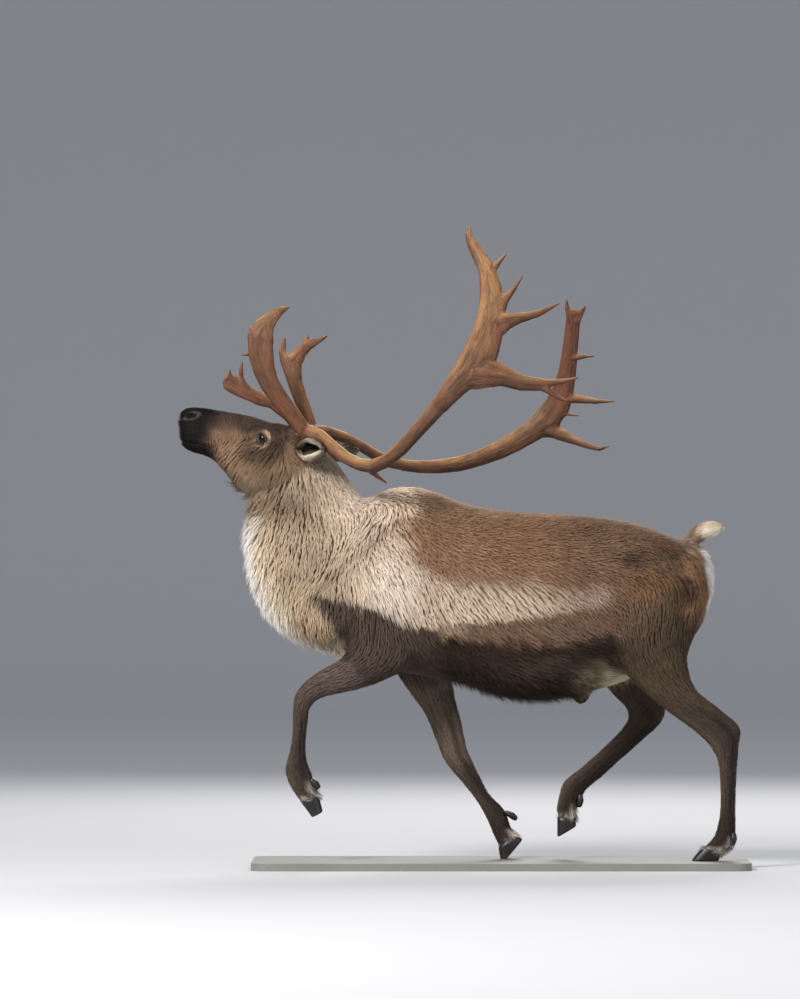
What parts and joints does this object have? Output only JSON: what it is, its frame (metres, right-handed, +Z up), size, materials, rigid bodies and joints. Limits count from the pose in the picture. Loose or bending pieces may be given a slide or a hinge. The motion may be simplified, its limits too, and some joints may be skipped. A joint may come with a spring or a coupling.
{
  "type": "reindeer",
  "caption": "Life-size bull reindeer in autumn coat, mid-stride with raised head, throat mane and palmate antlers, on a plain rectangular base.",
  "frame": {"origin": "centre of the base's underside, on the floor", "axes": "+Z up; the animal faces -X and its left side faces -Y"},
  "size_m": [1.9369, 0.8864, 2.1632],
  "materials": {
    "coat_brown": "dense short hair, matt",
    "mane": "long hair in flat locks, matt",
    "face_coat": "very short hair, matt",
    "leg_coat": "short dark hair, matt",
    "tail_white": "white hair, matt",
    "antler": "dry antler bone, grained, low sheen",
    "hoof_horn": "black horn, dull sheen",
    "eye": "wet and glossy, opaque dark brown",
    "base": "smooth matt board"
  },
  "bodies": {
    "root": {"head": "face_coat", "neck": "mane", "torso": "coat_brown", "tail": "tail_white", "antler_left_back_tine": "antler", "antler_left_beam": "antler", "antler_left_bez": "antler", "antler_left_palm": "antler", "antler_right_beam": "antler", "antler_right_bez": "antler", "antler_right_brow": "antler", "antler_right_palm": "antler", "dewclaw_front_left_inner": "hoof_horn", "dewclaw_front_left_outer": "hoof_horn", "dewclaw_front_right_inner": "hoof_horn", "dewclaw_front_right_outer": "hoof_horn", "dewclaw_hind_left_inner": "hoof_horn", "dewclaw_hind_left_outer": "hoof_horn", "dewclaw_hind_right_inner": "hoof_horn", "dewclaw_hind_right_outer": "hoof_horn", "ear_left": "face_coat", "ear_right": "face_coat", "eye_left": "eye", "eye_right": "eye", "hoof_front_left_inner": "hoof_horn", "hoof_front_left_outer": "hoof_horn", "hoof_front_right_inner": "hoof_horn", "hoof_front_right_outer": "hoof_horn", "hoof_hind_left_inner": "hoof_horn", "hoof_hind_left_outer": "hoof_horn", "hoof_hind_right_inner": "hoof_horn", "hoof_hind_right_outer": "hoof_horn", "leg_front_left": "leg_coat", "leg_front_right": "leg_coat", "leg_hind_left": "leg_coat", "leg_hind_right": "leg_coat", "stand_base": "base"}
  },
  "joints": []
}
